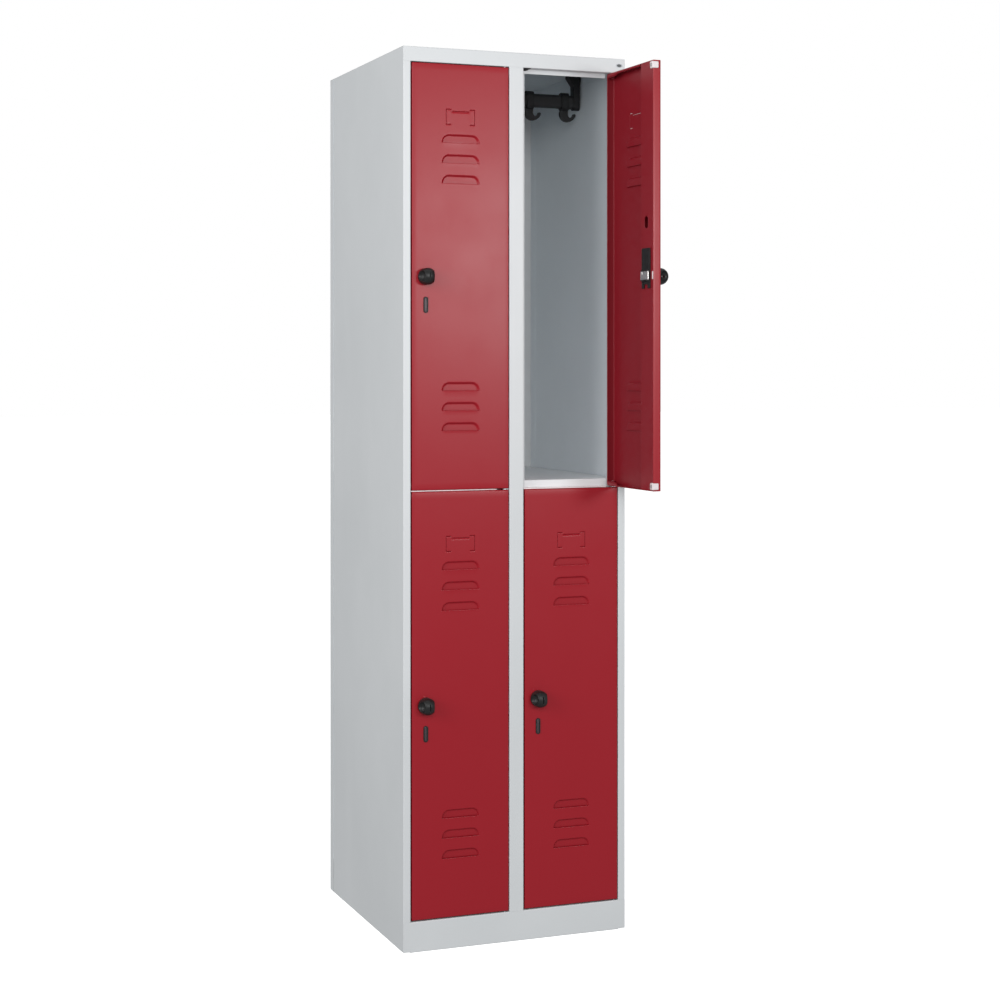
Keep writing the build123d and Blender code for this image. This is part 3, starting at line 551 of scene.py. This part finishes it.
def build_door_skin(leaf):
    o = make("door_panel_" + leaf.name, DOOR_V, DOOR_F, RED, "door_" + leaf.name, leaf, sharp=50)
    # outward normals before the sheet gets its thickness
    s = o.modifiers.new("sheet", "SOLIDIFY")
    s.thickness = SHEET * MM
    s.offset = -1.0
    s.use_even_offset = False
    s.use_quality_normals = False
    bm = bmesh.new()
    bm.from_mesh(o.data)
    bm.faces.ensure_lookup_table()
    flat = max(bm.faces, key=lambda f: f.calc_area())
    want = Vector(leaf.out)
    front = [f for f in bm.faces if abs(f.normal.dot(want)) > 0.99 and (f.calc_center_median() - Vector(leaf.corner)).dot(want) > -0.0005]
    if sum(f.normal.dot(want) * f.calc_area() for f in front) < 0:
        bmesh.ops.reverse_faces(bm, faces=bm.faces)
    bm.to_mesh(o.data)
    bm.free()
    # painted shade: the inside faces take a darker copy of the same paint, and the faces in the deep channel a darker
    # one still
    o.data.materials.append(RED_SHADED)
    s.material_offset = 1
    o.data.materials.append(RED_SHADED_DEEP)
    across = Vector(leaf.wide)
    for f in o.data.polygons:
        at = f.center - Vector(leaf.corner)
        if at.dot(want) < -0.0169 or (at.dot(want) < -0.002 and at.dot(across) > (DW - 0.5) * MM):
            f.material_index = 1
    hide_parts("door_skin_" + leaf.name)
    return o


# ------------------------------------------------------------------- knobs
def knob_profile():
    """Half outline of the turned grip from its tip to the spindle: (radius, w)."""
    R, H, C = 16.8, 29.8, 13.0
    pts = []
    n = 46
    for k in range(n + 1):
        a = math.pi / 2 * (k / n)
        pts.append((R * math.sin(a), C + (H - C) * math.cos(a)))
    pts[0] = (0.0, H)
    pts += [(R, 7.0), (R, 4.0), (R, 2.0), (R - 0.05, 1.0), (R - 0.25, 0.55), (R - 0.6, 0.35), (R - 1.1, 0.3),
            (R - 6, 0.3), (5.05, 0.3), (5.0, 0.0), (5.0, -19.0), (8.7, -19.0), (9.0, -19.3), (9.0, -20.7), (8.7, -21.0), (0.0, -21.0)]
    return pts


def knob_surface():
    """Turned grip with its spindle, and the crank pin."""
    n_t = 96
    verts, faces, prev = [], [], None
    for (r, w) in knob_profile():
        if r == 0.0:
            verts.append((0, 0, w))
            cur = [len(verts) - 1]
        else:
            cur = list(range(len(verts), len(verts) + n_t))
            verts += [(r * math.cos(2 * math.pi * k / n_t), r * math.sin(2 * math.pi * k / n_t), w) for k in range(n_t)]
        if prev is not None:
            for k in range(n_t):
                q = []
                for x in (prev[k % len(prev)], prev[(k + 1) % len(prev)], cur[(k + 1) % len(cur)], cur[k % len(cur)]):
                    if x not in q:
                        q.append(x)
                faces.append(tuple(q))
        prev = cur
    # crank pin, a small turned stub standing on the crank disc
    first = len(verts)
    cx = cy = 7.0711 * math.cos(math.radians(45))
    m = 24
    for (r, w) in ((1.5, -20.5), (1.5, -23.5), (1.3, -23.8)):
        for k in range(m):
            th = 2 * math.pi * k / m
            verts.append((cx + r * math.cos(th), cy + r * math.sin(th), w))
    for i in range(2):
        for k in range(m):
            a = first + i * m
            faces.append((a + k, a + (k + 1) % m, a + m + (k + 1) % m, a + m + k))
    faces.append(tuple(first + 2 * m + k for k in range(m)))
    faces.append(tuple(first + k for k in reversed(range(m))))
    v = np.array(verts, float)
    v[:, 0] += 29.5
    return v, faces


def knob_cutters():
    """Closed meshes taken out of the grip: a ball on each side, the cross hole
    through the web and the groove in its nose."""
    out = []
    for sign in (-1, 1):
        verts, faces, rings = [], [], []
        n, m = 64, 32
        R = 12.0
        verts.append((0, 0, R))
        for i in range(1, m):
            a = math.pi * i / m
            rings.append(list(range(len(verts), len(verts) + n)))
            verts += [(R * math.sin(a) * math.cos(2 * math.pi * k / n), R * math.sin(a) * math.sin(2 * math.pi * k / n), R * math.cos(a)) for k in range(n)]
        verts.append((0, 0, -R))
        last = len(verts) - 1
        for k in range(n):
            faces.append((0, rings[0][k], rings[0][(k + 1) % n]))
            faces.append((last, rings[-1][(k + 1) % n], rings[-1][k]))
        for r0, r1 in zip(rings[:-1], rings[1:]):
            for k in range(n):
                faces.append((r0[k], r1[k], r1[(k + 1) % n], r0[(k + 1) % n]))
        v = np.array(verts, float)
        # poles along u, so the rings run round the hollow
        v = v[:, [2, 0, 1]] + np.array([29.5 + sign * 17.4, 0.0, 17.5])
        out.append(("ball%d" % sign, v, faces))
    n = 40
    verts = [(u, 3.4 * math.cos(2 * math.pi * k / n), 17.5 + 3.4 * math.sin(2 * math.pi * k / n)) for u in (9.0, 50.0) for k in range(n)]
    faces = [(k, (k + 1) % n, n + (k + 1) % n, n + k) for k in range(n)] + [tuple(range(n))[::-1], tuple(range(n, 2 * n))]
    out.append(("cross", np.array(verts, float), faces))
    prof = []
    for k in range(17):
        a = math.pi * k / 16
        prof.append((29.5 + 1.4 * math.cos(a), 5.6 + 1.4 * math.sin(a)))
    for k in range(17):
        a = math.pi + math.pi * k / 16
        prof.append((29.5 + 1.4 * math.cos(a), -5.6 + 1.4 * math.sin(a)))
    n = len(prof)
    verts = [(u, v, w) for w in (26.0, 33.0) for (u, v) in prof]
    faces = [(k, (k + 1) % n, n + (k + 1) % n, n + k) for k in range(n)] + [tuple(range(n))[::-1], tuple(range(n, 2 * n))]
    out.append(("groove", np.array(verts, float), faces))
    return out


KNOB_V, KNOB_F = knob_surface()


def cut_mesh(verts, faces, cutters):
    """Boolean result of a closed mesh less the cutters, as plain lists."""
    def plain(name, v, f):
        me = bpy.data.meshes.new(name)
        me.from_pydata([tuple(p * MM) for p in np.asarray(v, float)], [], [tuple(int(i) for i in q) for q in f])
        bm = bmesh.new()
        bm.from_mesh(me)
        bmesh.ops.recalc_face_normals(bm, faces=bm.faces)
        bm.to_mesh(me)
        bm.free()
        o = bpy.data.objects.new(name, me)
        bpy.context.scene.collection.objects.link(o)
        return o
    body = plain("cut_body", verts, faces)
    tools = []
    for (tag, v, f) in cutters:
        t = plain("cut_" + tag, v, f)
        tools.append(t)
        b = body.modifiers.new(tag, "BOOLEAN")
        b.operation = "DIFFERENCE"
        b.solver = "EXACT"
        b.object = t
    dep = bpy.context.evaluated_depsgraph_get()
    dep.update()
    me = bpy.data.meshes.new_from_object(body.evaluated_get(dep), depsgraph=dep)
    v = np.array([tuple(p.co) for p in me.vertices]) / MM
    f = [tuple(p.vertices) for p in me.polygons]
    for o in tools + [body]:
        data = o.data
        bpy.data.objects.remove(o)
        bpy.data.meshes.remove(data)
    bpy.data.meshes.remove(me)
    return v, f


KNOB_V, KNOB_F = cut_mesh(KNOB_V, KNOB_F, knob_cutters())


def build_knob(leaf):
    o = make("knob_body_" + leaf.name, KNOB_V, KNOB_F, KNOB_BLACK, "knob_" + leaf.name, leaf, sharp=30)
    soft = o.modifiers.new("rounding", "BEVEL")
    soft.width = 0.0006
    soft.segments = 3
    soft.limit_method = "ANGLE"
    soft.angle_limit = math.radians(30)
    soft.use_clamp_overlap = True
    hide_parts("knob_" + leaf.name)
    return o


# ------------------------------------------------- small parts of the door
def lathe(prof, n=48):
    verts, faces = [], []
    prev = None
    for (r, h) in prof:
        if r <= 1e-9:
            verts.append((0, 0, h))
            cur = [len(verts) - 1]
        else:
            cur = list(range(len(verts), len(verts) + n))
            verts += [(r * math.cos(2 * math.pi * k / n), r * math.sin(2 * math.pi * k / n), h) for k in range(n)]
        if prev is not None:
            for k in range(n):
                a = [prev[k % len(prev)], prev[(k + 1) % len(prev)], cur[(k + 1) % len(cur)], cur[k % len(cur)]]
                b = []
                for q in a:
                    if q not in b:
                        b.append(q)
                if len(b) > 2:
                    faces.append(tuple(b))
        prev = cur
    return np.array(verts, float), faces


def build_buffer_discs(leaf):
    """Grey plug in the middle of each corner buffer."""
    v, f = lathe([(0.0, 0.35), (3.0, 0.35), (3.7, 0.22), (4.0, 0.0), (4.0, -0.9), (0.0, -0.9)], 40)
    for tag, sign in (("top", 1), ("bottom", -1)):
        p = v.copy()
        p[:, 2] = -(DT + 2.2) - p[:, 2]
        p[:, 0] += 4.9
        p[:, 1] += sign * (DH / 2 - 9.5)
        make("buffer_plug_%s_%s" % (tag, leaf.name), p, f, BUFFER_DISC, "door_" + leaf.name, leaf)


for leaf in LEAVES:
    build_door_skin(leaf)
    build_knob(leaf)
    build_buffer_discs(leaf)

# ------------------------------------------------ small parts of the frame
FRAME_BODY = NODES["top_panel"]["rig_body"]
FRONT = -250.0
OPENINGS = (-227.0, 15.5)
RAIL_Z = 1770.5


def prism(outline, axis, a, b, ease=0.25):
    """A closed outline swept along x or y from a to b, its ends eased a little.
    The outline is (y, z) for x and (x, z) for y."""
    pts = np.array(outline, float)
    mid = pts.mean(0)
    small = mid + (pts - mid) * (1 - 2 * ease / np.maximum(np.ptp(pts, axis=0), 1.0))
    verts, n = [], len(pts)
    for at, ring in ((a, small), (a + ease, pts), (b - ease, pts), (b, small)):
        verts += [(at, p[0], p[1]) if axis == "x" else (p[0], at, p[1]) for p in ring]
    faces = [(i * n + k, i * n + (k + 1) % n, (i + 1) * n + (k + 1) % n, (i + 1) * n + k) for i in range(3) for k in range(n)]
    return np.array(verts, float), faces + [tuple(range(n))[::-1], tuple(range(3 * n, 4 * n))]


def in_metres(v):
    return v * MM


for side, left in zip(("left", "right"), OPENINGS):
    # hemmed nose of the middle shelf, between the upper and the lower door; its pale pink is a painted highlight, the
    # glint along the lower door's top bend with a painted reflection of the red
    r, half, mid = 1.0, 1.0, 916.0
    nose = [(FRONT + 0.7 + r - r * math.cos(a), mid + half * math.sin(a)) for a in np.linspace(-math.pi / 2, math.pi / 2, 9)]
    nose += [(-228.7, mid + half), (-228.7, mid - half)]
    v, f = prism(nose, "x", left + 0.4, left + 184.0)
    make("shelf_nose_" + side, v, f, NOSE_HIGHLIGHT, FRAME_BODY, in_metres)
    # end of the rail's stop strip, lying over the top of the upright's lip
    x0, x1 = left + 0.25, left + 18.3
    strip = [(x0, RAIL_Z - 9.0), (x1, RAIL_Z - 9.0), (x1, RAIL_Z - 0.06), (x0, RAIL_Z - 0.06)]
    v, f = prism(strip, "y", -230.12, -230.02, 0.02)
    make("strip_end_" + side, v, f, GREY, FRAME_BODY, in_metres)
    # black clip under the rail at the lock side
    x0, x1 = left + 0.35, left + 17.5
    leg = [(x0, RAIL_Z - 0.06), (x0, RAIL_Z - 3.5), (x1 - 5.0, RAIL_Z - 3.5), (x1, RAIL_Z - 1.6), (x1, RAIL_Z - 0.06)]
    v1, f1 = prism(leg, "y", FRONT + 18.0, FRONT + 19.4, 0.2)
    flat = [(x0, RAIL_Z - 0.06), (x0, RAIL_Z - 0.7), (x1, RAIL_Z - 0.7), (x1, RAIL_Z - 0.06)]
    v2, f2 = prism(flat, "y", FRONT + 1.5, FRONT + 17.9, 0.1)
    v, f = np.vstack([v1, v2]), f1 + [tuple(i + len(v1) for i in q) for q in f2]
    make("rail_clip_" + side, v, f, BLACK, FRAME_BODY, in_metres)

# ------------------------------------------------------------ stage, light
def stage_floor():
    s = 40.0
    n = 12
    verts = [(-s + 2 * s * i / n, -s + 2 * s * j / n, -0.0005) for i in range(n + 1) for j in range(n + 1)]
    faces = [(i * (n + 1) + j, (i + 1) * (n + 1) + j, (i + 1) * (n + 1) + j + 1, i * (n + 1) + j + 1) for i in range(n) for j in range(n)]
    me = bpy.data.meshes.new("floor")
    me.from_pydata(verts, [], faces)
    o = bpy.data.objects.new("floor", me)
    bpy.context.scene.collection.objects.link(o)
    m = bpy.data.materials.new("floor")
    m.use_nodes = True
    t = m.node_tree
    t.nodes.clear()
    out = t.nodes.new("ShaderNodeOutputMaterial")
    d = t.nodes.new("ShaderNodeBsdfDiffuse")
    d.inputs[0].default_value = (0.90, 0.90, 0.895, 1)
    e = t.nodes.new("ShaderNodeEmission")
    e.inputs[1].default_value = FLOOR_GLOW
    add = t.nodes.new("ShaderNodeAddShader")
    t.links.new(d.outputs[0], add.inputs[0])
    t.links.new(e.outputs[0], add.inputs[1])
    t.links.new(add.outputs[0], out.inputs[0])
    me.materials.append(m)
    o.visible_diffuse = False
    o.visible_glossy = False
    return o


FLOOR_GLOW = 0.80
stage_floor()


def area(name, loc, target, size_x, size_y, power, colour=(1, 1, 1)):
    l = bpy.data.lights.new(name, "AREA")
    l.shape = "RECTANGLE"
    l.size, l.size_y = size_x, size_y
    l.energy = power
    l.color = colour
    o = bpy.data.objects.new(name, l)
    bpy.context.scene.collection.objects.link(o)
    o.location = loc
    o.rotation_euler = (Vector(target) - Vector(loc)).to_track_quat("-Z", "Y").to_euler()
    return o


KEY = area("key", (1.55, -4.1, 1.66), (-0.05, -0.25, 1.20), 0.85, 0.60, 41.5)
FILL = area("fill", (-3.9, -1.6, 2.1), (-0.24, 0.0, 1.1), 2.6, 2.6, 92.0)
INSIDE = area("inside", (-0.75, -3.2, 1.9), (0.15, 0.1, 1.15), 1.6, 1.4, 44.0)
TOP = area("top", (0.0, 0.5, 4.2), (0.0, 0.1, 0.9), 3.0, 3.0, 24.0)

world = bpy.data.worlds.new("studio")
bpy.context.scene.world = world
world.use_nodes = True
wt = world.node_tree
wt.nodes.clear()
w_out = wt.nodes.new("ShaderNodeOutputWorld")
w_cam = wt.nodes.new("ShaderNodeBackground")
w_cam.inputs[0].default_value = (1, 1, 1, 1)
w_cam.inputs[1].default_value = 1.0
w_amb = wt.nodes.new("ShaderNodeBackground")
w_amb.inputs[0].default_value = (0.97, 0.985, 1.0, 1)
w_amb.inputs[1].default_value = 0.455
w_mix = wt.nodes.new("ShaderNodeMixShader")
w_path = wt.nodes.new("ShaderNodeLightPath")
wt.links.new(w_path.outputs["Is Camera Ray"], w_mix.inputs[0])
wt.links.new(w_amb.outputs[0], w_mix.inputs[1])
wt.links.new(w_cam.outputs[0], w_mix.inputs[2])
wt.links.new(w_mix.outputs[0], w_out.inputs[0])

scene = bpy.context.scene
scene.view_settings.view_transform = "Standard"
scene.view_settings.look = "None"
scene.view_settings.exposure = 0.0
scene.view_settings.gamma = 1.0

# ------------------------------------------------------------------ camera
CAM_AT = (-1.4780, -3.8419, 1.1653)
cam_data = bpy.data.cameras.new("camera")
cam = bpy.data.objects.new("camera", cam_data)
scene.collection.objects.link(cam)
cam.location = CAM_AT
cam.rotation_euler = (math.pi / 2, 0.0, -0.362313)
cam_data.sensor_width = 36.0
cam_data.lens = 68.98
cam_data.clip_start, cam_data.clip_end = 0.05, 60.0
scene.camera = cam
# The level camera is shifted like a view camera, so that uprights stay parallel.
# The shift belongs to this position only: it is zero anywhere else.
for channel, amount in (("shift_x", 0.03719), ("shift_y", -0.13415)):
    drv = cam_data.driver_add(channel).driver
    drv.type = "SCRIPTED"
    for axis in "XY":
        var = drv.variables.new()
        var.name = "at_" + axis.lower()
        var.type = "TRANSFORMS"
        var.targets[0].id = cam
        var.targets[0].transform_type = "LOC_" + axis
        var.targets[0].transform_space = "WORLD_SPACE"
    drv.expression = "%.5f if abs(at_x - %.5f) + abs(at_y - %.5f) < 0.01 else 0.0" % (amount, CAM_AT[0], CAM_AT[1])

bpy.context.view_layer.update()
